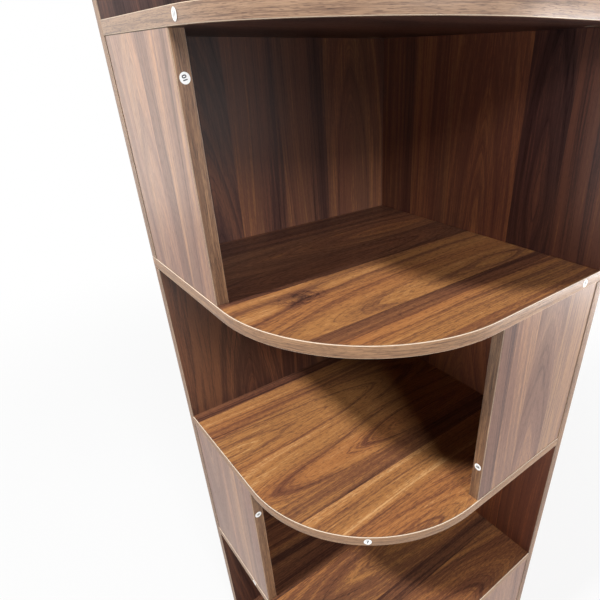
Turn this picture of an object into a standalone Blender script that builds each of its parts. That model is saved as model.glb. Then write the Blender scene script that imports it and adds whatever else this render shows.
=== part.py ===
# Corner bookcase of laminated board: two wall panels at a right angle, boards with one large
# rounded front corner, and a narrow wing between each pair of boards, right and left in turn.
# Metres, +Z up. The origin is the centre of the footprint on the floor. The back corner is at -X +Y,
# the rounded front corner at +X -Y, the left wall at -X and the right wall at +Y.

import bpy
import bmesh
from math import cos, pi, sin
from mathutils import Matrix, Vector

# The carcass
footprint = 0.430
front_radius = 0.210
board_thickness = 0.015
tier_clear_height = 0.262
lower_tier_count = 3
upper_tier_count = 2
wing_setback = 0.013
wing_recess = 0.001

# Edge bands, and the clearance between touching pieces
band_thickness = 0.0010
band_chamfer = 0.0004
band_trim = 0.0003
glue_line = 0.0002
seat_gap = 0.0003
arc_segments = 24

# Cam fittings: a cam nut in one panel pulls the head of a bolt that is screwed into the other
cam_setback = 0.034
cam_radius = 0.0075
cam_floor = 0.0022
cam_face_inset = 0.0003
cam_slot_width = 0.0016
cam_slot_length = 0.0095
cam_slot_depth = 0.0018
bolt_thread_radius = 0.0030
bolt_thread_floor = 0.0040
bolt_collar_radius = 0.0036
bolt_collar_thickness = 0.0018
bolt_shank_radius = 0.0024
bolt_head_radius = 0.0034
bolt_head_length = 0.0030
shank_clearance = 0.0007
collar_clearance = 0.0004
fitting_clearance = 0.0003

# Glued wood dowels
dowel_radius = 0.0040
dowel_floor = 0.0050
dowel_root = 0.0020

# Where fittings and dowels stand along their joints
shelf_cam_front_inset = 0.055
shelf_cam_rear_inset = 0.050
wing_cam_inset = 0.050
wing_dowel_inset = 0.040
wall_dowel_spread = 0.130
stack_stagger = 0.012

rod_sides = 8
cam_sides = 12
overshoot = 0.0010

# Derived sizes
half = footprint / 2
mid = board_thickness / 2
tier_pitch = tier_clear_height + board_thickness
tier_count = lower_tier_count + upper_tier_count
inner_left = -half + board_thickness
inner_back = half - board_thickness
arc_centre = half - front_radius
band_seat = band_thickness + glue_line
wing_width = footprint - front_radius - board_thickness - wing_setback
right_wall_middle = (inner_left + half) / 2
dowel_depth = board_thickness - dowel_floor
thread_depth = board_thickness - bolt_thread_floor
cam_depth = board_thickness - cam_floor

up = Vector((0, 0, 1))
right = Vector((1, 0, 0))
back = Vector((0, 1, 0))


def board_bottom(level):
    return level * tier_pitch


def board_top(level):
    return board_bottom(level) + board_thickness


# Finishes

def make_material(name, colour, roughness, metallic=0.0):
    material = bpy.data.materials.new(name)
    material.use_nodes = True
    shader = material.node_tree.nodes["Principled BSDF"]
    shader.inputs["Base Color"].default_value = (*colour, 1.0)
    shader.inputs["Roughness"].default_value = roughness
    shader.inputs["Metallic"].default_value = metallic
    return material


def walnut_laminate(name):
    return make_material(name + "_laminate", (0.130, 0.062, 0.035), 0.42)


def walnut_band(name):
    return make_material(name + "_finish", (0.230, 0.130, 0.085), 0.38)


def zinc(name):
    return make_material(name + "_zinc", (0.560, 0.570, 0.590), 0.35, 1.0)


# Objects and their meshes

def clear_scene():
    for item in list(bpy.data.objects):
        bpy.data.objects.remove(item, do_unlink=True)


def add_object(name, mesh, material=None, parent=None):
    item = bpy.data.objects.new(name, mesh)
    item.parent = parent
    bpy.context.scene.collection.objects.link(item)
    if material:
        mesh.materials.append(material)
    return item


def mesh_from(bm, name):
    bmesh.ops.recalc_face_normals(bm, faces=bm.faces)
    mesh = bpy.data.meshes.new(name)
    bm.to_mesh(mesh)
    bm.free()
    return mesh


def prism(name, outline, height):
    """A flat outline in X and Y, raised from Z = 0 to the height."""
    bm = bmesh.new()
    base = bm.faces.new([bm.verts.new((x, y, 0)) for x, y in outline])
    raised = bmesh.ops.extrude_face_region(bm, geom=[base])["geom"]
    lid = [part for part in raised if isinstance(part, bmesh.types.BMVert)]
    bmesh.ops.translate(bm, verts=lid, vec=(0, 0, height))
    return mesh_from(bm, name)


def bridge(bm, rings):
    """Faces between rings of the same number of points, with a cap at either end."""
    count = len(rings[0])
    for near, far in zip(rings, rings[1:]):
        for k in range(count):
            after = (k + 1) % count
            bm.faces.new((near[k], near[after], far[after], far[k]))
    bm.faces.new(rings[0])
    bm.faces.new(list(reversed(rings[-1])))


def loft(name, sections):
    """A strip through sections that all have the same number of points."""
    bm = bmesh.new()
    bridge(bm, [[bm.verts.new(point) for point in section] for section in sections])
    return mesh_from(bm, name)


def turned(name, steps):
    """A stepped rod along X: each step is its start, its end and its radius."""
    bm = bmesh.new()
    angles = [2 * pi * (k + 0.5) / rod_sides for k in range(rod_sides)]
    rings = []
    for start, end, radius in steps:
        for x in (start, end):
            rings.append([bm.verts.new((x, radius * cos(a), radius * sin(a))) for a in angles])
    bridge(bm, rings)
    return mesh_from(bm, name)


def block(name, low, high):
    bm = bmesh.new()
    size = [b - a for a, b in zip(low, high)]
    middle = [(a + b) / 2 for a, b in zip(low, high)]
    matrix = Matrix.Translation(middle) @ Matrix.Diagonal((*size, 1.0))
    bmesh.ops.create_cube(bm, size=1.0, matrix=matrix)
    return mesh_from(bm, name)


def rods(name, placed):
    """Separate straight rods in one mesh: each has a start, an axis, a length, a radius and sides."""
    bm = bmesh.new()
    for start, axis, length, radius, sides in placed:
        turn = axis.to_track_quat("Z", "Y").to_matrix().to_4x4()
        bmesh.ops.create_cone(
            bm,
            cap_ends=True,
            segments=sides,
            radius1=radius,
            radius2=radius,
            depth=length,
            matrix=Matrix.Translation(start + axis * (length / 2)) @ turn,
        )
    return mesh_from(bm, name)


def combine(item, mesh, operation):
    """Joins or cuts an object with a hidden helper, which stays in the file as a wire."""
    helper = add_object(mesh.name, mesh)
    helper.hide_render = True
    helper.display_type = "WIRE"
    change = item.modifiers.new(mesh.name, "BOOLEAN")
    change.operation = operation
    change.solver = "EXACT"
    change.object = helper


# Panels: each collects its dowels and holes, which are made once all the joints are known

class Panel:
    def __init__(self, name, outline, height, place, carcass):
        self.name = name
        mesh = prism(name, outline, height)
        self.item = add_object(name, mesh, walnut_laminate(name), carcass)
        self.item.location = place
        self.dowels = []
        self.seats = []
        self.ways = []

    def add_band(self, sections):
        """The edge band is glued on, so it keeps to its panel's own frame."""
        name = self.name + "_edge_band"
        add_object(name, loft(name, sections), walnut_band(name), self.item)

    def finish(self):
        for label, placed, operation in (
            ("dowels", self.dowels, "UNION"),
            ("seats", self.seats, "DIFFERENCE"),
            ("ways", self.ways, "DIFFERENCE"),
        ):
            if placed:
                combine(self.item, rods(f"{self.name}_{label}", placed), operation)


def blind_hole(mouth, inward, depth, radius, sides=rod_sides):
    """A cutter whose hole starts on a face; the cutter itself starts a little outside it."""
    return mouth - inward * overshoot, inward, depth + overshoot, radius, sides


def band_profile(width):
    """The section of a band on an edge of this width, as insets from the front and heights."""
    low, high = band_trim, width - band_trim
    return (
        (band_thickness, low),
        (band_chamfer, low),
        (0.0, low + band_chamfer),
        (0.0, high - band_chamfer),
        (band_chamfer, high),
        (band_thickness, high),
    )


# Boards with a rounded front corner

def front_edge(inset, left, rear):
    """The front edge from its left end, round the corner, to its right end, moved in by an inset."""
    yield left, -half + inset
    reach = front_radius - inset
    for k in range(arc_segments + 1):
        angle = (k / arc_segments - 1) * pi / 2
        yield arc_centre + reach * cos(angle), -arc_centre + reach * sin(angle)
    yield half - inset, rear


def add_board(name, level, left, rear, carcass):
    outline = [*front_edge(band_seat, left, rear), (left, rear)]
    place = (0, 0, board_bottom(level))
    board = Panel(name, outline, board_thickness, place, carcass)
    lines = [
        [(x, y, height) for x, y in front_edge(inset, left, rear)]
        for inset, height in band_profile(board_thickness)
    ]
    board.add_band(list(zip(*lines)))
    return board


# Upright panels with one banded edge

def add_upright(name, low, high, bottom, top, banded, carcass):
    """A panel between two corners in X and Y, banded on its -Y or its +X edge."""
    size_x, size_y = high[0] - low[0], high[1] - low[1]
    height = top - bottom
    profile = band_profile(min(size_x, size_y))
    if banded == "-y":
        box = (0, band_seat, size_x, size_y)
        section = [(across, inset) for inset, across in profile]
    else:
        box = (0, 0, size_x - band_seat, size_y)
        section = [(size_x - inset, across) for inset, across in profile]
    x0, y0, x1, y1 = box
    outline = ((x0, y0), (x1, y0), (x1, y1), (x0, y1))
    panel = Panel(name, outline, height, (*low, bottom), carcass)
    panel.add_band([[(x, y, z) for x, y in section] for z in (0, height)])
    return panel


def add_walls(name, first, last, carcass):
    """The left and right wall panels that stand between two full-size boards."""
    bottom = board_top(first) + seat_gap
    top = board_bottom(last) - seat_gap
    left_low, left_high = (-half, -half), (inner_left, half)
    right_low, right_high = (inner_left + seat_gap, inner_back), (half, half)
    return (
        add_upright(f"left_wall_{name}", left_low, left_high, bottom, top, "-y", carcass),
        add_upright(f"right_wall_{name}", right_low, right_high, bottom, top, "+x", carcass),
    )


def add_wing(name, tier, side, carcass):
    """The wing of one tier, counted from the floor, on the left or the right straight edge."""
    bottom = board_top(tier - 1) + seat_gap
    top = board_bottom(tier) - seat_gap
    if side == "left":
        low = (inner_left + seat_gap, -half + wing_recess)
        high = (inner_left + wing_width, low[1] + board_thickness)
        return add_upright(name, low, high, bottom, top, "+x", carcass)
    high = (half - wing_recess, inner_back - seat_gap)
    low = (high[0] - board_thickness, inner_back - wing_width)
    return add_upright(name, low, high, bottom, top, "-y", carcass)


# Cam fittings and dowels

def make_fitting():
    """A locked cam fitting: its joint plane is X = 0, its nut at +X, the nut's open face at +Z."""
    nut_top = mid - cam_face_inset
    nut_bottom = mid - cam_depth + fitting_clearance
    nut_foot = Vector((cam_setback, 0, nut_bottom))
    blank = rods("cam_nut", [(nut_foot, up, nut_top - nut_bottom, cam_radius, cam_sides)])
    nut = add_object("cam_nut", blank)
    nut.hide_render = True
    nut.display_type = "WIRE"

    slot_low = (cam_setback - cam_slot_length / 2, -cam_slot_width / 2, nut_top - cam_slot_depth)
    slot_high = (cam_setback + cam_slot_length / 2, cam_slot_width / 2, nut_top + overshoot)
    combine(nut, block("cam_driver_slot", slot_low, slot_high), "DIFFERENCE")

    side = bolt_shank_radius + shank_clearance
    window_low = (cam_setback - cam_radius - overshoot, -side, -bolt_head_radius)
    window_high = (cam_setback, side, bolt_head_radius)
    combine(nut, block("cam_window", window_low, window_high), "DIFFERENCE")

    collar_end = seat_gap + bolt_collar_thickness
    head_start = cam_setback - bolt_head_length / 2
    steps = (
        (-thread_depth, seat_gap, bolt_thread_radius),
        (seat_gap, collar_end, bolt_collar_radius),
        (collar_end, head_start, bolt_shank_radius),
        (head_start, head_start + bolt_head_length, bolt_head_radius),
    )
    combine(nut, turned("cam_bolt", steps), "UNION")

    bpy.context.view_layer.update()
    graph = bpy.context.evaluated_depsgraph_get()
    return bpy.data.meshes.new_from_object(nut.evaluated_get(graph))


class Joinery:
    """Sets fittings and dowels into the joints of the carcass."""

    def __init__(self, carcass):
        self.carcass = carcass
        self.fitting = make_fitting()

    def add_cam(self, name, holder, bolted, joint, into, face):
        """The nut sits in the holder with its open face outwards, the bolt in the other panel."""
        label = f"cam_fitting_{name}"
        item = add_object(label, self.fitting.copy(), zinc(label), self.carcass)
        turn = Matrix((into, face.cross(into), face)).transposed().to_4x4()
        item.matrix_world = Matrix.Translation(joint) @ turn
        mouth = joint + into * cam_setback + face * mid
        seat_radius = cam_radius + fitting_clearance
        way_radius = bolt_collar_radius + collar_clearance
        thread_radius = bolt_thread_radius + fitting_clearance
        holder.seats.append(blind_hole(mouth, -face, cam_depth, seat_radius, cam_sides))
        holder.ways.append(blind_hole(joint, into, cam_setback, way_radius))
        bolted.seats.append(
            blind_hole(joint, -into, thread_depth + fitting_clearance, thread_radius)
        )

    def add_dowel(self, holder, bored, joint, into):
        """A dowel glued into the holder, whose free end enters a blind hole in the other panel."""
        root = seat_gap + dowel_root
        reach = root + dowel_depth - fitting_clearance
        holder.dowels.append((joint + into * root, -into, reach, dowel_radius, rod_sides))
        hole_radius = dowel_radius + fitting_clearance
        bored.seats.append(blind_hole(joint, -into, dowel_depth, hole_radius))

    def join_shelf(self, shelf, level, left_wall, right_wall):
        """Two cams along each wall, with their open faces in the shelf's underside."""
        height = board_bottom(level) + mid
        front = shelf_cam_front_inset
        rear = shelf_cam_rear_inset
        for place, y in (("front", -half + front), ("rear", inner_back - rear)):
            joint = Vector((inner_left, y, height))
            self.add_cam(f"{shelf.name}_left_{place}", shelf, left_wall, joint, right, -up)
        for place, x in (("front", half - front), ("rear", inner_left + rear)):
            joint = Vector((x, inner_back, height))
            self.add_cam(f"{shelf.name}_right_{place}", shelf, right_wall, joint, -back, -up)

    def join_wing(self, wing, tier, side, below, above):
        """A cam and a dowel at each end of a wing; the cams open towards the compartment."""
        if side == "left":
            root = Vector((inner_left, -half + wing_recess + mid, 0))
            along, face = right, back
        else:
            root = Vector((half - wing_recess - mid, inner_back, 0))
            along, face = -back, -right
        for place, board, height, into in (
            ("bottom", below, board_top(tier - 1), up),
            ("top", above, board_bottom(tier), -up),
        ):
            start = root + up * height
            cam = start + along * wing_cam_inset
            dowel = start + along * (wing_width - wing_dowel_inset)
            self.add_cam(f"{wing.name}_{place}", wing, board, cam, into, face)
            self.add_dowel(wing, board, dowel, into)

    def join_wall(self, wall, first, last, boards, middle, along, face):
        """A cam in the middle of each end and a dowel on either side of it. The two ends are
        staggered, so that bolts from above and below don't meet inside a board."""
        for place, level, height, into, shift in (
            ("bottom", first, board_top(first), up, -stack_stagger),
            ("top", last, board_bottom(last), -up, stack_stagger),
        ):
            joint = middle + along * shift + up * height
            self.add_cam(f"{wall.name}_{place}", wall, boards[level], joint, into, face)
            for spread in (-wall_dowel_spread, wall_dowel_spread):
                self.add_dowel(wall, boards[level], joint + along * spread, into)

    def join_corner(self, first, last, left_wall, right_wall):
        """One dowel for each tier, from the right wall's rear edge into the left wall."""
        for level in range(first, last):
            height = board_top(level) + tier_clear_height / 2
            joint = Vector((inner_left, half - mid, height))
            self.add_dowel(right_wall, left_wall, joint, right)


# The whole bookcase

def add_boards(carcass):
    """Full-size boards at the floor, between the wall modules and on top, shelves in between."""
    full_size = {0: "bottom_board", lower_tier_count: "middle_board", tier_count: "top_board"}
    boards = []
    for level in range(tier_count + 1):
        if level in full_size:
            boards.append(add_board(full_size[level], level, -half, half, carcass))
        else:
            number = level if level < lower_tier_count else level - 1
            left, rear = inner_left + seat_gap, inner_back - seat_gap
            boards.append(add_board(f"shelf_{number}", level, left, rear, carcass))
    return boards


def build():
    clear_scene()
    carcass = add_object("corner_bookcase", None)
    joinery = Joinery(carcass)
    boards = add_boards(carcass)
    panels = list(boards)

    left_middle = Vector((-half + mid, 0, 0))
    right_middle = Vector((right_wall_middle, half - mid, 0))
    for module, first, last in (("lower", 0, lower_tier_count), ("upper", lower_tier_count, tier_count)):
        left_wall, right_wall = add_walls(module, first, last, carcass)
        panels += [left_wall, right_wall]
        joinery.join_wall(left_wall, first, last, boards, left_middle, back, -right)
        joinery.join_wall(right_wall, first, last, boards, right_middle, right, back)
        joinery.join_corner(first, last, left_wall, right_wall)
        for level in range(first + 1, last):
            joinery.join_shelf(boards[level], level, left_wall, right_wall)

    for tier in range(1, tier_count + 1):
        side = "right" if tier % 2 else "left"
        wing = add_wing(f"{side}_wing_{tier}", tier, side, carcass)
        panels.append(wing)
        joinery.join_wing(wing, tier, side, boards[tier - 1], boards[tier])

    for panel in panels:
        panel.finish()


build()
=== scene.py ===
# Corner bookcase in walnut-look laminated board: finishes, edge bands, fittings, stickers and studio.
# Metres, +Z up. The back corner is at -X +Y, the rounded front corner at +X -Y.
from math import cos, pi, radians, sin
from random import Random

import bmesh
import bpy
from mathutils import Matrix, Vector


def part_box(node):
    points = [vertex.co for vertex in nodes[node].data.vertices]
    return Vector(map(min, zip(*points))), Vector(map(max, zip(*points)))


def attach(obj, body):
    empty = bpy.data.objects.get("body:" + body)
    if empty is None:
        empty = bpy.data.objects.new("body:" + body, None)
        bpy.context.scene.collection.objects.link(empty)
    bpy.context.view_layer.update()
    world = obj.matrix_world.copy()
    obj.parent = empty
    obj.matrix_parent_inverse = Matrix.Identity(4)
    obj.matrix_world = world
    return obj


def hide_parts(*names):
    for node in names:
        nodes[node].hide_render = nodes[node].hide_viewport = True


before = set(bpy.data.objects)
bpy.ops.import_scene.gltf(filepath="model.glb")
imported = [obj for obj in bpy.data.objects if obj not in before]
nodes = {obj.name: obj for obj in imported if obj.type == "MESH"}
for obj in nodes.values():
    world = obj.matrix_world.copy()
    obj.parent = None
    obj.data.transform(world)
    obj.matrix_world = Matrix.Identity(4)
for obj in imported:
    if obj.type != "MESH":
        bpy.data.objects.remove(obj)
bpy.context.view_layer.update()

xAxis, yAxis, zAxis = Vector((1, 0, 0)), Vector((0, 1, 0)), Vector((0, 0, 1))
print("frame loaded:", len(nodes), "nodes")


# Node trees

# One socket of a node tree, on which sums are written as on paper. node() adds any other node.
class Wire:
    def __init__(self, tree, socket=None):
        self.tree = tree
        self.socket = socket

    def node(self, kind, settings=None, sockets=None):
        made = self.tree.nodes.new(kind)
        for key, value in (settings or {}).items():
            if key == "stops":
                setStops(made.color_ramp, value)
            elif key == "captures":
                for label, dataType in value.items():
                    made.capture_items.new(dataType, label)
            else:
                setattr(made, key, value)
        for key, value in (sockets or {}).items():
            target = made.inputs[key] if isinstance(key, int) else findSocket(made.inputs, key)
            for part in value if isinstance(value, list) else [value]:
                if isinstance(part, Wire):
                    self.tree.links.new(part.socket, target)
                else:
                    target.default_value = part
        return Wire(self.tree, next((s for s in made.outputs if s.enabled), None))

    def out(self, name):
        return Wire(self.tree, findSocket(self.socket.node.outputs, name))

    def maths(self, operation, *values):
        return self.node("ShaderNodeMath", {"operation": operation}, dict(enumerate(values)))

    def __add__(self, other):
        return self.maths("ADD", self, other)

    def __radd__(self, other):
        return self.maths("ADD", other, self)

    def __sub__(self, other):
        return self.maths("SUBTRACT", self, other)

    def __rsub__(self, other):
        return self.maths("SUBTRACT", other, self)

    def __mul__(self, other):
        return self.maths("MULTIPLY", self, other)

    def __rmul__(self, other):
        return self.maths("MULTIPLY", other, self)

    def __truediv__(self, other):
        return self.maths("DIVIDE", self, other)

    def __rtruediv__(self, other):
        return self.maths("DIVIDE", other, self)

    def __pow__(self, other):
        return self.maths("POWER", self, other)

    def __abs__(self):
        return self.maths("ABSOLUTE", self)

    def __gt__(self, other):
        return self.maths("GREATER_THAN", self, other)

    def __lt__(self, other):
        return self.maths("LESS_THAN", self, other)


def findSocket(sockets, name):
    return next(s for s in sockets if s.name == name and s.enabled)


def setStops(ramp, stops):
    ramp.interpolation = stops[0]
    while len(ramp.elements) < len(stops) - 1:
        ramp.elements.new(1.0)
    for element, (place, colour) in zip(ramp.elements, stops[1:]):
        element.position = place
        element.color = (*colour, 1.0)


def tinted(stops, tint):
    return [stops[0]] + [(place, tuple(Vector(colour) * Vector(tint))) for place, colour in stops[1:]]


def newMaterial(name):
    material = bpy.data.materials.new(name)
    material.use_nodes = True
    material.node_tree.nodes.clear()
    return material, Wire(material.node_tree)


def finishMaterial(wire, sockets):
    shader = wire.node("ShaderNodeBsdfPrincipled", None, sockets)
    wire.node("ShaderNodeOutputMaterial", None, {"Surface": shader})


def separate(wire):
    parts = wire.node("ShaderNodeSeparateXYZ", None, {0: wire})
    return parts.out("X"), parts.out("Y"), parts.out("Z")


def point(x, y, z):
    wire = next(value for value in (x, y, z) if isinstance(value, Wire))
    return wire.node("ShaderNodeCombineXYZ", None, {0: x, 1: y, 2: z})


def noise(where, scale=1.0, detail=2.0, roughness=0.5):
    sockets = {"Vector": where, "Scale": scale, "Detail": detail, "Roughness": roughness}
    return where.node("ShaderNodeTexNoise", None, sockets)


# One noise layer of a print: cells per metre in two directions, detail, roughness and an offset
def printLayer(settings, first, second, shift):
    firstCells, secondCells, detail, rough, offset = settings
    return noise(point(first * firstCells, second * secondCells, shift + offset), 1, detail, rough)


# A soft step from 0 at the low value to 1 at the high one
def ease(value, low, high):
    sockets = {"Value": value, "From Min": low, "From Max": high}
    return value.node("ShaderNodeMapRange", {"interpolation_type": "SMOOTHSTEP"}, sockets)


def blend(factor, first, second, mode="MIX"):
    settings = {"data_type": "RGBA", "blend_type": mode}
    made = factor.node("ShaderNodeMix", settings, {"Factor": factor, "A": first, "B": second})
    return made.out("Result")


def bump(height, depth, strength=1.0):
    return height.node("ShaderNodeBump", None, {"Height": height, "Distance": depth, "Strength": strength})


# A Geometry Nodes tree with named inputs, from which build() makes the geometry
def geometryTree(name, inputs, build):
    tree = bpy.data.node_groups.new(name, "GeometryNodeTree")
    tree.interface.new_socket("Geometry", in_out="INPUT", socket_type="NodeSocketGeometry")
    for label, kind in inputs.items():
        tree.interface.new_socket(label, in_out="INPUT", socket_type="NodeSocket" + kind)
    tree.interface.new_socket("Geometry", in_out="OUTPUT", socket_type="NodeSocketGeometry")
    given = tree.nodes.new("NodeGroupInput")
    wires = {socket.name: Wire(tree, socket) for socket in given.outputs if socket.name}
    result = build(Wire(tree), wires)
    result.node("NodeGroupOutput", None, {0: result})
    return tree


def addPiece(name, mesh):
    item = bpy.data.objects.new(name, mesh)
    bpy.context.scene.collection.objects.link(item)
    return item


# Runs a tree on a mesh and returns the plain mesh that comes out
def grown(tree, mesh, values):
    item = addPiece("seed", mesh)
    modifier = item.modifiers.new(tree.name, "NODES")
    modifier.node_group = tree
    for socket in tree.interface.items_tree:
        if socket.in_out == "INPUT" and socket.name in values:
            modifier[socket.identifier] = values[socket.name]
    graph = bpy.context.evaluated_depsgraph_get()
    made = bpy.data.meshes.new_from_object(item.evaluated_get(graph))
    item.modifiers.remove(modifier)
    bpy.data.objects.remove(item)
    if made.materials[0] is None:   # the empty first slot of a primitive
        made.materials.pop(index=0)
    return made


creaseAngle = radians(32)


def addPart(name, mesh, replaced=()):
    mesh.shade_smooth()
    mesh.set_sharp_from_angle(angle=creaseAngle)
    piece = addPiece(name, mesh)
    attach(piece, "root")
    if replaced:
        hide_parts(*replaced)
    return piece


# Laminate panels

# Directions of each kind of panel: the print lies across and along it
panelKinds = {
    "board": (xAxis, yAxis),
    "facingX": (yAxis, zAxis),
    "facingY": (xAxis, zAxis),
}

# The print of each sheet, as strips: (start across the sheet, tone, centre of the figure's arches,
# place along the grain where the rings turn). A centre 0.60 out lies off the sheet, so that the grain
# runs straight. Some sheets have a tint, or knots as (across, along, radius). The bluer tints of the
# upper walls are painted reflection: they stand in for the grey haze of glare on these walls.
sheetPrints = {
    "middle_board": dict(
        strips=((-0.215, 0.35, -0.60, 0.0), (-0.140, 0.50, -0.096, 0.13), (-0.061, 0.39, -0.033, -0.019),
                (0.000, 0.69, 0.103, 0.10), (0.120, 0.50, 0.60, 0.0), (0.143, 0.70, 0.60, 0.0),
                (0.200, 0.44, 0.60, 0.0)),
        knots=((0.034, -0.130, 0.0115),),
    ),
    "shelf_2": dict(
        strips=((-0.215, 0.36, -0.60, 0.0), (-0.180, 0.66, -0.60, 0.0), (-0.120, 0.71, -0.075, -0.20),
                (-0.040, 0.71, 0.033, 0.10), (0.056, 0.50, 0.60, 0.0), (0.093, 0.79, 0.60, 0.0),
                (0.154, 0.64, 0.200, -0.22)),
    ),
    "shelf_1": dict(
        strips=((-0.215, 0.48, -0.60, 0.0), (-0.086, 0.46, -0.60, 0.0), (-0.004, 0.58, 0.050, 0.16),
                (0.103, 0.44, 0.60, 0.0), (0.130, 0.58, 0.200, -0.20)),
    ),
    "shelf_3": dict(
        strips=((-0.215, 0.50, -0.60, 0.0), (-0.130, 0.42, -0.080, 0.20), (-0.020, 0.54, 0.60, 0.0),
                (0.070, 0.44, 0.60, 0.0), (0.135, 0.58, 0.60, 0.0)),
    ),
    "left_wall_upper": dict(
        strips=((-0.215, 0.28, -0.60, 1.1), (-0.120, 0.36, -0.115, 0.80), (-0.080, 0.50, -0.60, 1.1),
                (-0.045, 0.45, -0.60, 1.1), (0.000, 0.47, 0.60, 1.1), (0.050, 0.38, 0.60, 1.1),
                (0.080, 0.55, 0.135, 0.86), (0.196, 0.40, 0.60, 1.1)),
        # Bluer tint: painted reflection, the grey haze of glare on this wall
        tint=(0.97, 1.00, 1.20),
    ),
    "right_wall_upper": dict(
        strips=((-0.215, 0.53, -0.60, 1.1), (-0.150, 0.42, -0.60, 1.1), (-0.128, 0.58, -0.60, 1.1),
                (-0.048, 0.61, 0.011, 0.80), (0.071, 0.31, 0.108, 0.94), (0.136, 0.43, 0.60, 1.1)),
        # Bluer tint: painted reflection, the grey haze of glare on this wall
        tint=(1.05, 0.97, 1.24),
    ),
    "left_wall_lower": dict(
        strips=((-0.215, 0.32, -0.100, 0.45), (-0.040, 0.29, 0.60, 0.4), (0.030, 0.36, 0.60, 0.4),
                (0.110, 0.40, 0.160, 0.10)),
    ),
    "right_wall_lower": dict(
        # Tones raised to stand in for the bounce light on this wall in the third compartment: partly
        # painted light, partly the print's own tone
        strips=((-0.215, 0.60, -0.60, 0.4), (-0.060, 0.70, 0.020, 0.20), (0.085, 0.66, 0.60, 0.4),
                (0.140, 0.47, 0.60, 0.4)),
        tint=(1.12, 0.90, 0.97),
    ),
    "left_wing_4": dict(
        # Its first strip, 1.2 mm at tone 0.10 where the wing meets the wall, is painted shadow along that
        # joint
        strips=((-0.215, 0.10, -0.60, 0.4), (-0.1988, 0.54, -0.60, 0.4), (-0.160, 0.55, -0.130, 0.75),
                (-0.100, 0.44, -0.60, 0.4), (-0.072, 0.57, 0.60, 0.4)),
    ),
    "right_wing_3": dict(
        strips=((0.000, 0.43, -0.60, 0.4), (0.034, 0.57, -0.60, 0.4), (0.078, 0.51, 0.105, 0.40),
                (0.142, 0.60, 0.60, 0.4)),
        tint=(0.91, 1.00, 1.12),
    ),
    "left_wing_2": dict(
        # Its first strip, 1.2 mm at tone 0.10 where the wing meets the wall, is painted shadow along that
        # joint
        strips=((-0.215, 0.10, -0.60, 0.4), (-0.1988, 0.52, -0.150, 0.65), (-0.118, 0.60, 0.60, 0.4),
                (-0.060, 0.56, 0.60, 0.4)),
    ),
}

laminateLook = {
    "toneStops": (
        "EASE",
        (0.00, (0.020, 0.0085, 0.0070)),
        (0.25, (0.064, 0.0260, 0.0175)),
        (0.50, (0.168, 0.0690, 0.0340)),
        (0.75, (0.365, 0.1625, 0.0540)),
        (1.00, (0.575, 0.3200, 0.1350)),
    ),
    "ringSpacing": 0.0036,
    "taper": 0.165,
    "archSharpness": 1.5,
    "drift": 0.018,            # how far the grain wanders, and its finer waves
    "fineDrift": 0.0016,
    "slantDrift": 0.026,
    "ringDrift": 0.0046,
    "knotPush": 1.5,
    "knotFade": 2.5,
    "knotLength": 1.7,         # of a knot, as a share of its width
    "knotRipple": 1.3,
    "layers": {                # cells per metre across and along (per ring: rings, seams)
        "drift": (5, 1.6, 1, 0.5, 0),
        "fineDrift": (40, 9, 2, 0.5, 0),
        "slant": (3, 4, 1, 0.5, 5),
        "ringDrift": (28, 5, 3, 0.5, 0),
        "rings": (1, 0.5, 4, 0.62, 0),
        "seams": (0.75, 0.8, 1, 0.5, 9),
        "broad": (55, 0.9, 2, 0.5, 0),
        "veins": (95, 1.4, 2, 0.5, 11),
        "fibre": (420, 6, 4, 0.76, 0),
        "fleck": (680, 120, 2, 0.7, 2),
        "pores": (820, 115, 1, 0.5, 0),
        "curl": (62, 38, 3, 0.6, 0),
        "redness": (14, 1.2, 1, 0.5, 3),
    },
    "ranges": {                # where each soft step begins and ends
        "late": (0.0, 0.040),
        "veins": (0.54, 0.72),
        "pores": (0.57, 0.67),
        "curl": (0.0, 0.080),
        "knot": (0.3, 2.4),
        "knotHeart": (0.0, 0.9),
        "redness": (0.40, 0.66),
        "boardCoat": (0.22, 0.72),
        "wingCoat": (0.22, 0.72),
        "wallCoat": (-0.10, 0.35),
    },
    "strengths": {
        "rings": 0.54,
        "late": 0.15,
        "veins": 0.16,
        "fibre": 0.44,
        "dashedFibre": 0.22,
        "fleck": 0.46,
        "curl": 0.34,
        "knot": 0.15,
        "knotHeart": 0.6,
        "pores": 0.40,
        "redness": 0.34,
        "coat": 0.42,
    },
    "boardGrain": (1.0, 0.80, 0.84),    # share of dashes, ring figure and broad streaks
    "wallGrain": (0.45, 0.66, 0.68),
    "wingGrain": (0.45, 0.44, 0.42),
    # Tone taken off the boards' undersides: painted shade
    "paintedShadeBelow": 0.37,
    "knotColour": (0.070, 0.034, 0.022),
    "poreColour": (0.040, 0.020, 0.014),
    "redderBy": (1.0, 0.76, 0.80),
    "coreColour": (0.430, 0.300, 0.195),
    "chipColour": (0.260, 0.168, 0.100),
    "chipScale": 760.0,
    "chipHeight": 3,
    "roughness": 0.36,
    "fibreRoughness": 0.12,
    "poreRoughness": 0.16,
    "ringRoughness": 0.06,
    "coreRoughness": 0.85,
    "coatRoughness": 0.36,
    "refraction": 1.40,
    "poreDepth": 0.00006,
    "bumpStrength": 0.45,
}


drawnLook = {
    "tone": (0.36, 0.64),
    "width": (0.055, 0.120),
    "narrowest": 0.020,
    "archShare": 0.5,
    "archPlace": (0.02, 0.06),
    "farOut": (-0.6, 0.6),
    "turn": (-0.25, 0.25),
}


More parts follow.
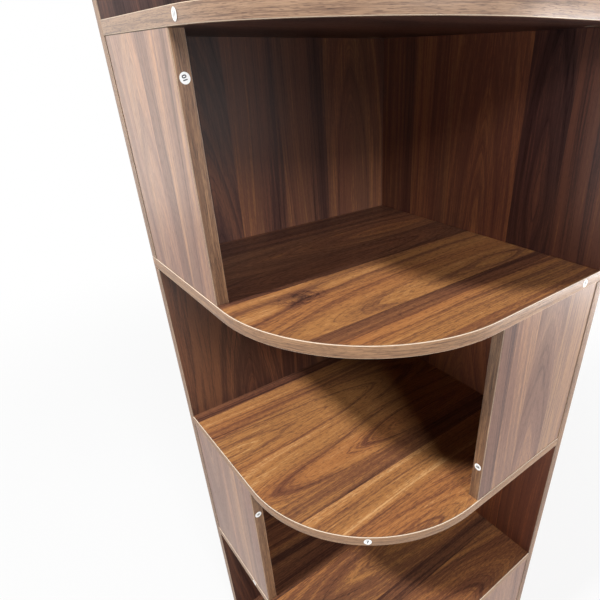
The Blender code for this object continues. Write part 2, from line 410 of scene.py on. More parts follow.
# A sheet that no photograph shows gets strips of its own, always the same ones
def drawnPrint(name):
    look = drawnLook
    draw = Random(name)
    low, high, middle = sheetExtent(name)
    strips = []
    start = low
    while start < high - look["narrowest"]:
        if draw.random() < look["archShare"]:
            centre = start + draw.uniform(*look["archPlace"])
        else:
            centre = draw.choice(look["farOut"])
        strips.append((start, draw.uniform(*look["tone"]), centre, middle + draw.uniform(*look["turn"])))
        start += draw.uniform(*look["width"])
    return dict(strips=strips)


def kindOf(name):
    low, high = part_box(name)
    size = high - low
    return {0: "facingX", 1: "facingY", 2: "board"}[min(range(3), key=lambda axis: size[axis])]


def sheetExtent(name):
    low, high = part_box(name)
    across, along = panelKinds[kindOf(name)]
    return low.dot(across), high.dot(across), (low.dot(along) + high.dot(along)) / 2


# The strips as a stepped ramp over the sheet: tone, the place where the rings turn, and the centre of
# the arches, the last two squeezed into the ramp's 0 to 1
def stripMarks(wire, strips, x, low, reach):
    stops = ["CONSTANT"]
    for start, stripTone, stripCentre, stripTurn in strips:
        colour = (stripTone, (stripTurn + 0.5) / 2, (stripCentre + 1) / 2)
        stops.append((max(0.0, (start - low) / reach), colour))
    strip = wire.node("ShaderNodeValToRGB", {"stops": stops}, {"Fac": (x - low) / reach})
    parts = wire.node("ShaderNodeSeparateColor", None, {0: strip})
    return parts.out("Red"), parts.out("Green") * 2 - 0.5, parts.out("Blue") * 2 - 1


# Knots push the grain aside. The second result is the distance to the nearest one, in knot radii.
def pastKnots(x, y, bent, knots):
    look = laminateLook
    nearest = None
    for knotX, knotY, size in knots:
        offX, offY = (x - knotX) / size, (y - knotY) / (size * look["knotLength"])
        distance = (offX * offX + offY * offY) ** 0.5
        bent = bent + (x - knotX) * look["knotPush"] / (1 + distance ** look["knotFade"])
        nearest = distance if nearest is None else nearest.maths("MINIMUM", nearest, distance)
    return bent, nearest


def walnutSheet(name):
    look = laminateLook
    layers, ranges, strengths = look["layers"], look["ranges"], look["strengths"]
    grain = "wing" if "_wing_" in name else "wall" if "_wall_" in name else "board"
    dashes, figure, streaks = look[grain + "Grain"]
    sheet = sheetPrints.get(name) or drawnPrint(name)
    across, along = panelKinds[kindOf(name)]
    turn = Matrix((across, along, across.cross(along))).to_euler()
    low, high, _ = sheetExtent(name)
    seed = Random("grain of " + name).uniform(0, 90)

    material, wire = newMaterial(name + "_walnut_laminate")
    place = wire.node("ShaderNodeTexCoord")
    flat = wire.node("ShaderNodeMapping", None, {"Vector": place.out("Object"), "Rotation": turn})
    x, y, _ = separate(flat)
    tone, turned, centre = stripMarks(wire, sheet["strips"], x, low, high - low)
    shift = tone * 61 + centre * 23 + seed   # no two strips share their grain
    sockets = {"Vector": place.out("Normal"), "Rotation": turn}
    _, _, through = separate(wire.node("ShaderNodeMapping", {"vector_type": "NORMAL"}, sockets))
    # Painted shade: the boards' undersides get a darker tone, as if the light falls from above
    if grain == "board":
        tone = tone - (through < -0.5) * look["paintedShadeBelow"]

    # The grain wanders a little along the sheet, and knots push it aside
    bent = x + (printLayer(layers["drift"], x, y, shift) - 0.5) * look["drift"]
    bent = bent + (printLayer(layers["fineDrift"], x, y, shift) - 0.5) * look["fineDrift"]
    bent, nearest = pastKnots(x, y, bent, sheet.get("knots", ()))

    # Growth rings cut at a slant: straight lines beside the arches, nested arches over their centre
    slant = (printLayer(layers["slant"], x, y, shift) - 0.5) * look["slantDrift"]
    depth = (y - turned) * look["taper"] + slant
    sharp = look["archSharpness"]
    ring = (abs(bent - centre) ** sharp + abs(depth) ** sharp) ** (1 / sharp)
    ring = ring + (printLayer(layers["ringDrift"], x, y, shift) - 0.5) * look["ringDrift"]
    rings = printLayer(layers["rings"], ring / look["ringSpacing"], y, shift) - 0.5
    seam = abs(printLayer(layers["seams"], ring / look["ringSpacing"], y, shift) - 0.5)
    late = 1 - ease(seam, *ranges["late"])

    # Broad streaks, fibres and pores
    broad = printLayer(layers["broad"], ring, y, shift) - 0.5
    veins = ease(printLayer(layers["veins"], ring, y, shift), *ranges["veins"])
    fibre = printLayer(layers["fibre"], bent, y, shift) - 0.5
    fleck = printLayer(layers["fleck"], bent, y, shift) - 0.5
    pores = ease(printLayer(layers["pores"], x, y, shift), *ranges["pores"]) * dashes
    lines = rings * strengths["rings"] - late * strengths["late"] - veins * strengths["veins"]
    shade = tone + broad * streaks + lines * figure
    shade = shade + fibre * (strengths["fibre"] + strengths["dashedFibre"] * dashes)
    shade = shade + fleck * strengths["fleck"] * dashes
    if nearest is not None:
        curl = abs(printLayer(layers["curl"], x, y, nearest * look["knotRipple"]) - 0.5)
        darker = (1 - ease(curl, *ranges["curl"])) * strengths["curl"] + strengths["knot"]
        shade = shade - darker * (1 - ease(nearest, *ranges["knot"]))

    tones = tinted(look["toneStops"], sheet.get("tint", (1, 1, 1)))
    walnut = wire.node("ShaderNodeValToRGB", {"stops": tones}, {"Fac": shade})
    if nearest is not None:
        heart = (1 - ease(nearest, *ranges["knotHeart"])) * strengths["knotHeart"]
        walnut = blend(heart, walnut, (*look["knotColour"], 1))
    walnut = blend(pores * strengths["pores"], walnut, (*look["poreColour"], 1))
    redness = ease(printLayer(layers["redness"], bent, y, shift), *ranges["redness"])
    walnut = blend(redness * strengths["redness"], walnut, (*look["redderBy"], 1), "MULTIPLY")

    # Cut edges and bores show the chipboard core
    core = abs(through) < 0.5
    chips = wire.node("ShaderNodeTexVoronoi", None, {"Vector": flat, "Scale": look["chipScale"]})
    chipTone = wire.node("ShaderNodeSeparateColor", None, {0: chips.out("Color")}).out("Red")
    chipboard = blend(chipTone, (*look["coreColour"], 1), (*look["chipColour"], 1))

    grainHeight = fibre * 0.5 - pores
    height = grainHeight + (chipTone * look["chipHeight"] - grainHeight) * core
    rough = look["roughness"] + fibre * look["fibreRoughness"]
    rough = rough + pores * look["poreRoughness"] + rings * look["ringRoughness"]
    coat = ease(shade, *ranges[grain + "Coat"]) * (1 - core) * strengths["coat"]
    finishMaterial(wire, {
        "Base Color": blend(core, walnut, chipboard),
        "Roughness": rough + (look["coreRoughness"] - rough) * core,
        "Normal": bump(height, look["poreDepth"], look["bumpStrength"]),
        "IOR": look["refraction"],
        "Coat Weight": coat,
        "Coat Roughness": look["coatRoughness"],
    })
    return material


panels = [name for name in nodes if not name.endswith("_edge_band") and not name.startswith("cam_fitting")]
for name in panels:
    nodes[name].data.materials.clear()
    nodes[name].data.materials.append(walnutSheet(name))
print("laminate panels:", len(panels))


# Edge bands

bandLook = {
    "cornerRadius": 0.210,
    "cornerSteps": 96,
    "faceInset": 0.00012,
    "thickness": 0.00088,
    "rounding": 0.0004,
    "roundingSteps": 4,
    "toneStops": (
        "EASE",
        (0.00, (0.040, 0.0180, 0.0100)),
        (0.30, (0.135, 0.0660, 0.0340)),
        (0.60, (0.300, 0.1650, 0.0830)),
        (1.00, (0.500, 0.3300, 0.2050)),
    ),
    "tone": {"board": 0.51, "upright": 0.41},
    "tints": {"shelf_3_edge_band": (0.99, 1.10, 1.34)},
    "drift": 0.0050,
    "layers": {               # cells per metre along and across the band
        "drift": (9, 40, 2, 0.5, 0),
        "broad": (6, 220, 2, 0.5, 0),
        "streak": (26, 900, 4, 0.76, 0),
        "pores": (120, 2000, 1, 0.5, 7),
    },
    "poreRange": (0.55, 0.66),
    "broadStrength": 0.55,
    "streakStrength": 1.10,
    "poreStrength": 0.20,
    "rimWearAndHighlight": {"board": 1.0, "upright": 0.35},   # how pale the rims are: partly scraped wear, partly a painted highlight on the rounded arris
    "rimWearAndHighlightColour": (0.680, 0.560, 0.440),
    "rimWearAndHighlightWidth": 0.00045,
    "roughness": 0.46,
    "streakRoughness": 0.14,
    "rimRoughness": 0.04,
    "refraction": 1.52,
    "poreDepth": 0.00005,
    "bumpStrength": 0.6,
}


# The band follows its path with the corner rounded; its section is square where it is glued on
def bandingTree(wire, given):
    path = wire.node("GeometryNodeMeshToCurve", None, {"Mesh": given["Geometry"]})
    sockets = {"Curve": path, "Count": given["Corner Steps"], "Radius": given["Corner Radius"]}
    path = wire.node("GeometryNodeFilletCurve", {"mode": "POLY"}, sockets)
    tangent = wire.node("GeometryNodeInputTangent")
    settings = {"operation": "CROSS_PRODUCT"}
    outward = wire.node("ShaderNodeVectorMath", settings, {0: tangent, 1: given["Across"]})
    path = wire.node("GeometryNodeSetCurveNormal", {"mode": "FREE"}, {"Curve": path, "Normal": outward})
    along = wire.node("GeometryNodeSplineParameter").out("Length")
    settings = {"captures": {"Along": "FLOAT"}}
    marked = wire.node("GeometryNodeCaptureAttribute", settings, {"Geometry": path, "Along": along})

    sockets = {"Width": given["Thickness"], "Height": given["Width"]}
    section = wire.node("GeometryNodeCurvePrimitiveQuadrilateral", {"mode": "RECTANGLE"}, sockets)
    sideways, _, _ = separate(wire.node("GeometryNodeInputPosition"))
    rounding = given["Rounding"] * (sideways > 0)
    sockets = {"Curve": section, "Count": given["Rounding Steps"], "Radius": rounding}
    section = wire.node("GeometryNodeFilletCurve", {"mode": "POLY"}, sockets)
    inset = point(-1 * (given["Face Inset"] + given["Thickness"] / 2), 0, 0)
    section = wire.node("GeometryNodeTransform", None, {"Geometry": section, "Translation": inset})

    sockets = {"Curve": marked.out("Geometry"), "Profile Curve": section, "Fill Caps": True}
    strip = wire.node("GeometryNodeCurveToMesh", None, sockets)
    here = wire.node("GeometryNodeInputPosition")
    settings = {"operation": "DOT_PRODUCT"}
    height = wire.node("ShaderNodeVectorMath", settings, {0: here, 1: given["Across"]}).out("Value")
    marks = point(marked.out("Along"), height - given["Middle"], 0)
    settings = {"data_type": "FLOAT2", "domain": "CORNER"}
    sockets = {"Geometry": strip, "Name": "UVMap", "Value": marks}
    strip = wire.node("GeometryNodeStoreNamedAttribute", settings, sockets)
    strip = wire.node("GeometryNodeRealizeInstances", None, {"Geometry": strip})
    return wire.node("GeometryNodeSetMaterial", None, {"Geometry": strip, "Material": given["Finish"]})


def walnutBand(name, width):
    look = bandLook
    layers = look["layers"]
    kind = "board" if kindOf(name) == "board" else "upright"
    seed = Random("band of " + name).uniform(0, 90)
    material, wire = newMaterial(name + "_walnut_band")
    marks = wire.node("ShaderNodeUVMap", {"uv_map": "UVMap"})
    along, across, _ = separate(marks)
    bent = across + (printLayer(layers["drift"], along, across, seed) - 0.5) * look["drift"]
    broad = printLayer(layers["broad"], along, bent, seed) - 0.5
    streak = printLayer(layers["streak"], along, bent, seed) - 0.5
    pores = ease(printLayer(layers["pores"], along, bent, seed), *look["poreRange"])
    shade = look["tone"][kind] + broad * look["broadStrength"] + streak * look["streakStrength"]
    shade = shade - pores * look["poreStrength"]
    tones = tinted(look["toneStops"], look["tints"].get(name, (1, 1, 1)))
    walnut = wire.node("ShaderNodeValToRGB", {"stops": tones}, {"Fac": shade})
    edge = width / 2
    # Pale rims: partly scraped wear, partly painted highlight where light catches the rounded arris
    rim = ease(abs(across), edge - look["rimWearAndHighlightWidth"], edge - look["rimWearAndHighlightWidth"] / 2)
    finishMaterial(wire, {
        "Base Color": blend(rim * look["rimWearAndHighlight"][kind], walnut, (*look["rimWearAndHighlightColour"], 1)),
        "Roughness": look["roughness"] + streak * look["streakRoughness"] + rim * look["rimRoughness"],
        "Normal": bump(streak - pores, look["poreDepth"], look["bumpStrength"]),
        "IOR": look["refraction"],
    })
    return material


# The line that a band follows, and the way its face looks at the line's start
def bandPath(name):
    low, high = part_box(name)
    middle = (low + high) / 2
    kind = kindOf(name)
    if kind == "board":
        stations = [(low.x, low.y, middle.z), (high.x, low.y, middle.z), (high.x, high.y, middle.z)]
        return stations, -yAxis
    if kind == "facingY":
        return [(middle.x, low.y, low.z), (middle.x, low.y, high.z)], -yAxis
    return [(high.x, middle.y, low.z), (high.x, middle.y, high.z)], xAxis


def addBand(tree, name):
    stations, outward = bandPath(name)
    start, after = Vector(stations[0]), Vector(stations[1])
    across = outward.cross((after - start).normalized())
    low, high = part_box(name)
    width = abs((high - low).dot(across))
    path = bpy.data.meshes.new("band_path")
    path.from_pydata(stations, [(k, k + 1) for k in range(len(stations) - 1)], [])
    mesh = grown(tree, path, {
        "Corner Radius": bandLook["cornerRadius"],
        "Corner Steps": bandLook["cornerSteps"],
        "Width": width,
        "Thickness": bandLook["thickness"],
        "Face Inset": bandLook["faceInset"],
        "Rounding": bandLook["rounding"],
        "Rounding Steps": bandLook["roundingSteps"],
        "Across": across,
        "Middle": start.dot(across),
        "Finish": walnutBand(name, width),
    })
    return addPart(name.replace("_edge_band", "_banding"), mesh, [name])


bandInputs = {
    "Corner Radius": "Float",
    "Corner Steps": "Int",
    "Width": "Float",
    "Thickness": "Float",
    "Face Inset": "Float",
    "Rounding": "Float",
    "Rounding Steps": "Int",
    "Across": "Vector",
    "Middle": "Float",
    "Finish": "Material",
}
banding = geometryTree("edge_banding", bandInputs, bandingTree)
bands = [addBand(banding, name) for name in nodes if name.endswith("_edge_band")]
print("edge bands:", len(bands))


# Cam fittings

fittingLook = {
    "sides": 48,
    "nutSetback": 0.034,
    "nutRadius": 0.0075,
    "nutTop": 0.0072,
    "nutBottom": -0.0050,
    "rimWidth": 0.0009,
    "rimHeight": 0.00025,
    "chamfer": 0.0003,
    "slotSize": (0.0095, 0.0016, 0.0018),
    "crossSize": (0.0016, 0.0062, 0.0018),
    "windowHalfWidth": 0.0031,
    "windowHalfHeight": 0.0038,
    "arrow": (0.0013, 0.000975),   # length and half width
    "arrowAside": 0.00003,         # keeps the arrow's tip off an edge of the nut
    "boltSides": 24,
    "threadRadius": 0.0030,
    "threadRoot": 0.00222,
    "threadDepth": 0.0110,
    "threadPitch": 0.0016,
    "rootShare": 0.2,              # places of root and crest in each turn
    "crestShare": 0.5,
    "threadEnd": -0.0006,
    "collarRadius": 0.0036,
    "collarStart": 0.0003,
    "collarEnd": 0.0021,
    "collarTaper": 0.0004,
    "shankRadius": 0.0024,
    "headRadius": 0.0034,
    "headLength": 0.0030,
    "headTaper": 0.001,
    "darkZinc": (0.52, 0.53, 0.55),
    "lightZinc": (0.70, 0.71, 0.72),
    "cloud": (900.0, 3.0, 0.6),    # cells per metre, detail, roughness
    "grit": (5200.0, 2.0, 0.6),
    "cloudRange": (-0.2, 0.2),
    "roughness": 0.36,
    "cloudRoughness": 0.25,
    "gritRoughness": 0.1,
    "gritDepth": 0.00004,
    "bumpStrength": 0.5,
}


def meshFrom(bm, name):
    mesh = bpy.data.meshes.new(name)
    bm.to_mesh(mesh)
    bm.free()
    return mesh


# Turns a profile of (radius, distance) points round the given axis; points on the axis close the ends
def turnedMesh(name, profile, sides, axis):
    bm = bmesh.new()
    rings = []
    for radius, distance in profile:
        ring = []
        for k in range(sides if radius > 0 else 1):
            angle = 2 * pi * k / sides
            spot = Vector((radius * cos(angle), radius * sin(angle), distance))
            ring.append(bm.verts.new(Matrix(axis).transposed() @ spot))
        rings.append(ring)
    for near, far in zip(rings, rings[1:]):
        for k in range(sides):
            after = (k + 1) % sides
            corners = [near[k % len(near)], near[after % len(near)]]
            corners += [far[after % len(far)], far[k % len(far)]]
            bm.faces.new(list(dict.fromkeys(corners)))
    bmesh.ops.recalc_face_normals(bm, faces=bm.faces)
    return meshFrom(bm, name)


def boxMesh(name, low, high):
    bm = bmesh.new()
    middle, size = (Vector(low) + Vector(high)) / 2, Vector(high) - Vector(low)
    bmesh.ops.create_cube(bm, size=1.0, matrix=Matrix.Translation(middle) @ Matrix.Diagonal((*size, 1.0)))
    return meshFrom(bm, name)


def wedgeMesh(name, tip, size, low, high):
    bm = bmesh.new()
    length, side = size
    corners = ((0, 0), (length, -side), (length, side))
    foot = [bm.verts.new((tip[0] + x, tip[1] + y, low)) for x, y in corners]
    head = [bm.verts.new((tip[0] + x, tip[1] + y, high)) for x, y in corners]
    bm.faces.new(foot)
    bm.faces.new(head)
    for k in range(3):
        after = (k + 1) % 3
        bm.faces.new((foot[k], foot[after], head[after], head[k]))
    bmesh.ops.recalc_face_normals(bm, faces=bm.faces)
    return meshFrom(bm, name)


# Cuts or joins meshes in order and returns the plain result
def carved(mesh, steps):
    item = addPiece("blank", mesh)
    helpers = []
    for index, (operation, helperMesh) in enumerate(steps):
        helper = addPiece(f"helper_{index}", helperMesh)
        helpers.append(helper)
        change = item.modifiers.new(f"step_{index}", "BOOLEAN")
        change.operation = operation
        change.solver = "EXACT"
        change.object = helper
    graph = bpy.context.evaluated_depsgraph_get()
    made = bpy.data.meshes.new_from_object(item.evaluated_get(graph))
    for extra in [item, *helpers]:
        bpy.data.objects.remove(extra)
    return made


# One locked fitting: joint plane at X = 0, nut at +X with its open face at +Z, bolt along X
def fittingMesh():
    look = fittingLook
    radius, top, bottom = look["nutRadius"], look["nutTop"], look["nutBottom"]
    floor = top - look["rimHeight"]
    chamfer, rim = look["chamfer"], radius - look["rimWidth"]
    nutProfile = [
        (0, floor), (rim, floor), (rim + look["rimHeight"], top), (radius - chamfer, top),
        (radius, top - chamfer), (radius, bottom + chamfer), (radius - chamfer, bottom), (0, bottom),
    ]
    nut = turnedMesh("cam_nut", nutProfile, look["sides"], (xAxis, yAxis, zAxis))
    nut.transform(Matrix.Translation((look["nutSetback"], 0, 0)))

    middle = look["nutSetback"]
    cutters = []
    for length, width, depth in (look["slotSize"], look["crossSize"]):
        low = (middle - length / 2, -width / 2, floor - depth)
        cutters.append(boxMesh("slot", low, (middle + length / 2, width / 2, top + chamfer)))
    side, tall = look["windowHalfWidth"], look["windowHalfHeight"]
    low = (middle - radius - chamfer, -side, -tall)
    cutters.append(boxMesh("window", low, (middle, side, tall)))
    tip = (middle - rim + look["rimHeight"], look["arrowAside"])
    arrow = wedgeMesh("arrow", tip, look["arrow"], floor - chamfer, floor + look["rimHeight"] / 2)

    pitch, root, shank = look["threadPitch"], look["threadRoot"], look["shankRadius"]
    collar, head = look["collarRadius"], look["headRadius"]
    profile = [(0, -look["threadDepth"])]
    for k in range(int(look["threadDepth"] / pitch)):
        start = -look["threadDepth"] + k * pitch
        profile.append((root, start + look["rootShare"] * pitch))
        profile.append((look["threadRadius"], start + look["crestShare"] * pitch))
    headStart = middle - look["headLength"] / 2
    headEnd = headStart + look["headLength"]
    profile += [
        (root, look["threadEnd"]), (shank, look["collarStart"]), (collar, look["collarStart"]),
        (collar, look["collarEnd"]), (shank, look["collarEnd"] + look["collarTaper"]),
        (shank, headStart - look["headTaper"]), (head, headStart), (head, headEnd), (0, headEnd),
    ]
    bolt = turnedMesh("cam_bolt", profile, look["boltSides"], (yAxis, zAxis, xAxis))
    steps = [("DIFFERENCE", cutter) for cutter in cutters] + [("UNION", arrow), ("UNION", bolt)]
    return carved(nut, steps)


def markedAxis(wire, name):
    settings = {"data_type": "FLOAT_VECTOR"}
    return wire.node("GeometryNodeInputNamedAttribute", settings, {"Name": name}).out("Attribute")


# Instances stand at marked points, with their bolt and their open face along the marked directions
def fittingsTree(wire, given):
    settings = {"primary_axis": "X", "secondary_axis": "Z"}
    sockets = {0: markedAxis(wire, "bolt_axis"), 1: markedAxis(wire, "face_axis")}
    turn = wire.node("FunctionNodeAxesToRotation", settings, sockets)
    shape = wire.node("GeometryNodeObjectInfo", None, {"Object": given["Fitting"]}).out("Geometry")
    sockets = {"Points": given["Geometry"], "Instance": shape, "Rotation": turn}
    placed = wire.node("GeometryNodeInstanceOnPoints", None, sockets)
    placed = wire.node("GeometryNodeRealizeInstances", None, {"Geometry": placed})
    return wire.node("GeometryNodeSetMaterial", None, {"Geometry": placed, "Material": given["Finish"]})


# The joint's middle, the bolt's direction into the nut and the nut's open side, from the node's place
def fittingPlace(name):
    low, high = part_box(name)
    middle = (low + high) / 2
    if "_shelf_" in name:
        into, face = (xAxis, -zAxis) if "_left_" in name else (-yAxis, -zAxis)
    else:
        into = zAxis if name.endswith("bottom") else -zAxis
        if "_wall_" in name:
            face = -xAxis if "_left_" in name else yAxis
        else:
            face = yAxis if "_left_" in name else -xAxis
    reach = fittingLook["nutSetback"] + fittingLook["nutRadius"]
    joint = Vector()
    for axis in range(3):
        if abs(into[axis]) > 0.5:
            joint[axis] = (high if into[axis] > 0 else low)[axis] - into[axis] * reach
        elif abs(face[axis]) > 0.5:
            joint[axis] = (high if face[axis] > 0 else low)[axis] - face[axis] * fittingLook["nutTop"]
        else:
            joint[axis] = middle[axis]
    return joint, into, face


def castZinc():
    look = fittingLook
    material, wire = newMaterial("cast_zinc")
    place = wire.node("ShaderNodeTexCoord").out("Object")
    cloud = noise(place, *look["cloud"]) - 0.5
    grit = noise(place, *look["grit"]) - 0.5
    lighter = ease(cloud, *look["cloudRange"])
    finishMaterial(wire, {
        "Base Color": blend(lighter, (*look["darkZinc"], 1), (*look["lightZinc"], 1)),
        "Metallic": 1.0,
        "Roughness": look["roughness"] + cloud * look["cloudRoughness"] + grit * look["gritRoughness"],
        "Normal": bump(grit + cloud, look["gritDepth"], look["bumpStrength"]),
    })
    return material


fittingNames = [name for name in nodes if name.startswith("cam_fitting")]
places = [fittingPlace(name) for name in fittingNames]
spots = bpy.data.meshes.new("fitting_spots")
spots.from_pydata([joint for joint, _, _ in places], [], [])
for label, column in (("bolt_axis", 1), ("face_axis", 2)):
    marks = spots.attributes.new(label, "FLOAT_VECTOR", "POINT")
    marks.data.foreach_set("vector", [value for row in places for value in row[column]])
prototype = addPiece("fitting_prototype", fittingMesh())
fittingInputs = {"Fitting": "Object", "Finish": "Material"}
fittings = geometryTree("cam_fittings", fittingInputs, fittingsTree)
fittingsMesh = grown(fittings, spots, {"Fitting": prototype, "Finish": castZinc()})
bpy.data.objects.remove(prototype)
addPart("cam_fittings", fittingsMesh, fittingNames)
print("cam fittings:", len(fittingNames))


# Number stickers

stickerLook = {
    "sides": 40,
    "radius": 0.0050,
    "thickness": 0.00008,
    "inkHeight": 0.00002,
    "inkGap": 0.000002,
    "digitHeight": 0.0066,
    "doubleHeight": 0.0058,
    "bolder": 0.00022,
    "pointSpacing": 0.00016,
    "mergeDistance": 0.000001,
    "paper": (0.86, 0.87, 0.87),
    "paperRoughness": 0.55,
    "ink": (0.030, 0.032, 0.040),
    "inkRoughness": 0.45,
    "fibres": (3000.0, 3.0, 0.6),
    "fibreRange": (-0.25, 0.25),
    "fibreRoughness": 0.1,
    "fibreDepth": 0.00001,
    "fibreShade": 0.90,         # of the dark places, as a share of the colour
    "bumpStrength": 0.5,
}

# The bands' faces at the boards' straight edges, at the wings' free ends and round the corner
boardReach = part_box("middle_board_edge_band")[1].x
bandFace = boardReach - bandLook["faceInset"]
wingEnd = bandLook["faceInset"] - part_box("left_wing_4_edge_band")[1].x
cornerMiddle = boardReach - bandLook["cornerRadius"]
cornerAngle = radians(-40.5)
cornerOut = Vector((cos(cornerAngle), sin(cornerAngle), 0))
cornerSpot = Vector((cornerMiddle, -cornerMiddle, 0.5612))
cornerSpot += cornerOut * (bandLook["cornerRadius"] - bandLook["faceInset"])

# Each sticker: its number, its middle, the way it faces, the way its digits stand, and its tilt in degrees
stickers = (
    (1, Vector((0.060, -bandFace, 0.0075)), -yAxis, zAxis, -8),
    (4, Vector((0.2060, wingEnd, 0.0600)), -yAxis, xAxis, 6),
    (5, Vector((-0.0587, -bandFace, 0.2848)), -yAxis, zAxis, 10),
    (6, Vector((-wingEnd, -0.2070, 0.5015)), xAxis, -yAxis, -12),
    (7, cornerSpot, cornerOut, zAxis, 5),
    (8, Vector((0.2065, wingEnd, 0.6252)), -yAxis, xAxis, 4),
    (9, Vector((bandFace, 0.1667, 0.8385)), xAxis, zAxis, -6),
    (10, Vector((-wingEnd, -0.2063, 1.0697)), xAxis, -yAxis, 14),
    (11, Vector((0.0137, -bandFace, 1.1158)), -yAxis, zAxis, 0),
    (12, Vector((0.2064, wingEnd, 1.3300)), -yAxis, xAxis, -5),
    (15, Vector((-0.0600, -bandFace, 1.3925)), -yAxis, zAxis, 7),
)


# A round paper disc with its number printed on it, facing +Z, the digits' tops towards +Y
def stickerTree(wire, given):
    sockets = {"Vertices": given["Sides"], "Radius": given["Radius"], "Depth": given["Thickness"]}
    disc = wire.node("GeometryNodeMeshCylinder", {"fill_type": "NGON"}, sockets)
    raised = point(0, 0, given["Thickness"] / 2)
    disc = wire.node("GeometryNodeTransform", None, {"Geometry": disc.out("Mesh"), "Translation": raised})
    disc = wire.node("GeometryNodeSetMaterial", None, {"Geometry": disc, "Material": given["Paper"]})

    settings = {"align_x": "CENTER", "align_y": "MIDDLE"}
    sockets = {"String": given["Number"], "Size": given["Digit Height"]}
    letters = wire.node("GeometryNodeStringToCurves", settings, sockets)
    letters = wire.node("GeometryNodeRealizeInstances", None, {"Geometry": letters})
    sockets = {"Curve": letters, "Length": given["Point Spacing"]}
    letters = wire.node("GeometryNodeResampleCurve", {"mode": "LENGTH"}, sockets)
    letters = wire.node("GeometryNodeSetCurveNormal", {"mode": "Z_UP"}, {"Curve": letters})
    settings = {"operation": "SCALE"}
    sockets = {0: wire.node("GeometryNodeInputNormal"), "Scale": given["Bolder"]}
    outward = wire.node("ShaderNodeVectorMath", settings, sockets)
    letters = wire.node("GeometryNodeSetPosition", None, {"Geometry": letters, "Offset": outward})
    flat = wire.node("GeometryNodeFillCurve", {"mode": "NGONS"}, {"Curve": letters})
    lift = point(0, 0, given["Ink Height"])
    sockets = {"Mesh": flat, "Offset": lift, "Offset Scale": 1.0, "Individual": False}
    sides = wire.node("GeometryNodeExtrudeMesh", {"mode": "FACES"}, sockets)
    foot = wire.node("GeometryNodeFlipFaces", None, {"Mesh": flat})
    ink = wire.node("GeometryNodeJoinGeometry", None, {"Geometry": [sides.out("Mesh"), foot]})
    sockets = {"Geometry": ink, "Distance": given["Merge Distance"]}
    ink = wire.node("GeometryNodeMergeByDistance", None, sockets)
    top = point(0, 0, given["Thickness"] + given["Ink Gap"])
    ink = wire.node("GeometryNodeTransform", None, {"Geometry": ink, "Translation": top})
    ink = wire.node("GeometryNodeSetMaterial", None, {"Geometry": ink, "Material": given["Ink"]})
    whole = wire.node("GeometryNodeJoinGeometry", None, {"Geometry": [disc, ink]})
    return wire.node("GeometryNodeRealizeInstances", None, {"Geometry": whole})


def paperFinish(name, colour, rough):
    look = stickerLook
    material, wire = newMaterial(name)
    place = wire.node("ShaderNodeTexCoord").out("Object")
    fibres = noise(place, *look["fibres"]) - 0.5
    darker = tuple(part * look["fibreShade"] for part in colour)
    finishMaterial(wire, {
        "Base Color": blend(ease(fibres, *look["fibreRange"]), (*darker, 1), (*colour, 1)),
        "Roughness": rough + fibres * look["fibreRoughness"],
        "Normal": bump(fibres, look["fibreDepth"], look["bumpStrength"]),
    })
    return material


stickerInputs = {
    "Number": "String",
    "Sides": "Int",
    "Radius": "Float",
    "Thickness": "Float",
    "Ink Height": "Float",
    "Ink Gap": "Float",
    "Digit Height": "Float",
    "Bolder": "Float",
    "Point Spacing": "Float",
    "Merge Distance": "Float",
    "Paper": "Material",
    "Ink": "Material",
}
labels = geometryTree("number_sticker", stickerInputs, stickerTree)
paper = paperFinish("sticker_paper", stickerLook["paper"], stickerLook["paperRoughness"])
ink = paperFinish("sticker_ink", stickerLook["ink"], stickerLook["inkRoughness"])
for number, middle, facing, upward, tilt in stickers:
    mesh = grown(labels, bpy.data.meshes.new("sticker_spot"), {
        "Number": str(number),
        "Sides": stickerLook["sides"],
        "Radius": stickerLook["radius"],
        "Thickness": stickerLook["thickness"],
        "Ink Height": stickerLook["inkHeight"],
        "Ink Gap": stickerLook["inkGap"],
        "Digit Height": stickerLook["digitHeight" if number < 10 else "doubleHeight"],
        "Bolder": stickerLook["bolder"],
        "Point Spacing": stickerLook["pointSpacing"],
        "Merge Distance": stickerLook["mergeDistance"],
        "Paper": paper,
        "Ink": ink,
    })
    turn = Matrix((upward.cross(facing), upward, facing)).transposed().to_4x4()
    mesh.transform(Matrix.Translation(middle) @ turn @ Matrix.Rotation(radians(tilt), 4, "Z"))
    addPart(f"number_sticker_{number}", mesh)
print("number stickers:", len(stickers))


# Studio

studio = {
    "floorSize": 24.0,
    "floorDrop": 0.0004,
    "floorColour": (0.68, 0.68, 0.68, 1),
    "floorWhite": 0.86,
    "floorFade": (0.9, 2.6),
    "ambient": 0.015,
    "lamps": {
        "key": {"place": (-0.10, -2.25, 3.55), "aim": (0, -0.05, 0.85), "size": (0.32, 0.32), "power": 154},
        "side": {"place": (2.7, -0.6, 2.5), "aim": (0, 0, 0.9), "size": (0.8, 0.8), "power": 58},
        "flank": {"place": (2.9, 0.0, 1.9), "aim": (0, 0, 0.9), "size": (0.9, 0.9), "power": 18},
        "left": {"place": (-3.2, -1.9, 0.9), "aim": (-0.1, -0.2, 0.7), "size": (2.2, 2.4), "power": 24.5,
                 "colour": (1.0, 0.95, 0.86)},
        "low": {"place": (-1.5, -3.0, 0.62), "aim": (0.1, 0.2, 0.68), "size": (0.8, 0.5), "power": 10},
        "rear": {"place": (1.1, 2.6, 0.5), "aim": (0.215, 0.15, 0.7), "size": (2.0, 1.0), "power": 108},
    },
}


# 1 for a ray from the camera, off a glossy surface or through glass, so that these see the background
def seenDirectly(wire):
    path = wire.node("ShaderNodeLightPath")
    first = path.out("Is Camera Ray").maths("MAXIMUM", path.out("Is Camera Ray"), path.out("Is Glossy Ray"))
    return first.maths("MAXIMUM", first, path.out("Is Transmission Ray"))


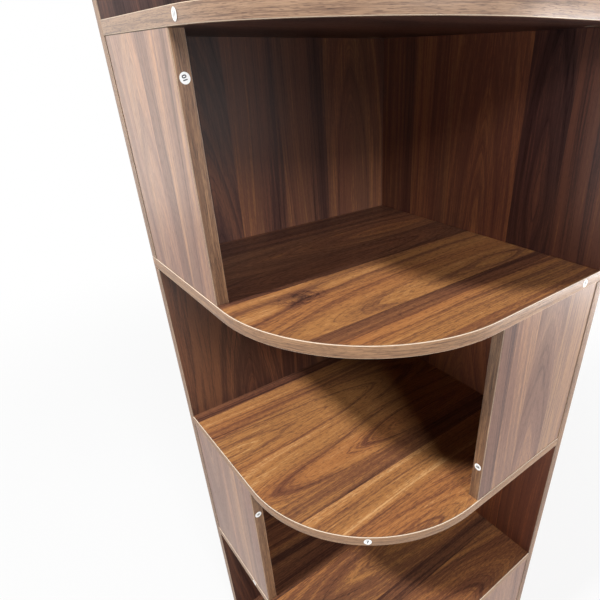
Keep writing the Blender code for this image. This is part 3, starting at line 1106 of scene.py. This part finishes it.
def addFloor():
    size, level = studio["floorSize"] / 2, -studio["floorDrop"]
    corners = [(-size, -size, level), (size, -size, level), (size, size, level), (-size, size, level)]
    mesh = bpy.data.meshes.new("studio_floor")
    mesh.from_pydata(corners, [], [(0, 1, 2, 3)])
    material, wire = newMaterial("studio_floor")
    matt = wire.node("ShaderNodeBsdfDiffuse", None, {"Color": studio["floorColour"]})
    white = wire.node("ShaderNodeEmission", None, {"Color": (1, 1, 1, 1), "Strength": 1.0})
    place = wire.node("ShaderNodeTexCoord").out("Object")
    away = wire.node("ShaderNodeVectorMath", {"operation": "LENGTH"}, {0: place}).out("Value")
    share = studio["floorWhite"] + ease(away, *studio["floorFade"]) * (1 - studio["floorWhite"])
    share = share * seenDirectly(wire)
    mixed = wire.node("ShaderNodeMixShader", None, {0: share, 1: matt, 2: white})
    wire.node("ShaderNodeOutputMaterial", None, {"Surface": mixed})
    mesh.materials.append(material)
    addPiece("studio_floor", mesh)


def addWorld():
    world = bpy.data.worlds.new("studio")
    bpy.context.scene.world = world
    world.use_nodes = True
    world.node_tree.nodes.clear()
    wire = Wire(world.node_tree)
    strength = studio["ambient"] + seenDirectly(wire) * (1 - studio["ambient"])
    sky = wire.node("ShaderNodeBackground", None, {"Color": (1, 1, 1, 1), "Strength": strength})
    wire.node("ShaderNodeOutputWorld", None, {"Surface": sky})


def addLamp(name, look):
    lamp = bpy.data.lights.new(name + "_softbox", "AREA")
    lamp.shape = "RECTANGLE"
    lamp.size, lamp.size_y = look["size"]
    lamp.energy = look["power"]
    lamp.color = look.get("colour", (1, 1, 1))
    item = bpy.data.objects.new(lamp.name, lamp)
    item.location = look["place"]
    item.rotation_euler = (Vector(look["aim"]) - Vector(look["place"])).to_track_quat("-Z", "Y").to_euler()
    bpy.context.scene.collection.objects.link(item)


# The photograph's camera, from a fit to the bookcase's own edges
photoCamera = {
    "place": (0.46607, -0.39236, 1.08460),
    "azimuth": 51.4829,
    "pitch": 29.9081,
    "roll": -0.8901,
    "focal": 483.72,
    "middle": (357.58, 334.40),
    "frame": 600,
}


def addCamera():
    look = photoCamera
    azimuth, pitch, roll = (radians(look[key]) for key in ("azimuth", "pitch", "roll"))
    ahead = Vector((-sin(azimuth) * cos(pitch), cos(azimuth) * cos(pitch), -sin(pitch)))
    level = Vector((cos(azimuth), sin(azimuth), 0))
    over = level.cross(ahead)
    right = level * cos(roll) + over * sin(roll)
    top = over * cos(roll) - level * sin(roll)
    lens = bpy.data.cameras.new("photo_camera")
    lens.sensor_width = 36
    lens.lens = lens.sensor_width * look["focal"] / look["frame"]
    lens.shift_x = (look["frame"] / 2 - look["middle"][0]) / look["frame"]
    lens.shift_y = (look["middle"][1] - look["frame"] / 2) / look["frame"]
    lens.clip_start = 0.01
    camera = bpy.data.objects.new("photo_camera", lens)
    turn = Matrix((right, top, -ahead)).transposed().to_4x4()
    camera.matrix_world = Matrix.Translation(look["place"]) @ turn
    bpy.context.scene.collection.objects.link(camera)
    bpy.context.scene.camera = camera


addFloor()
addWorld()
for lampName, lampLook in studio["lamps"].items():
    addLamp(lampName, lampLook)
addCamera()
bpy.context.scene.view_settings.view_transform = "Standard"
print("studio ready")
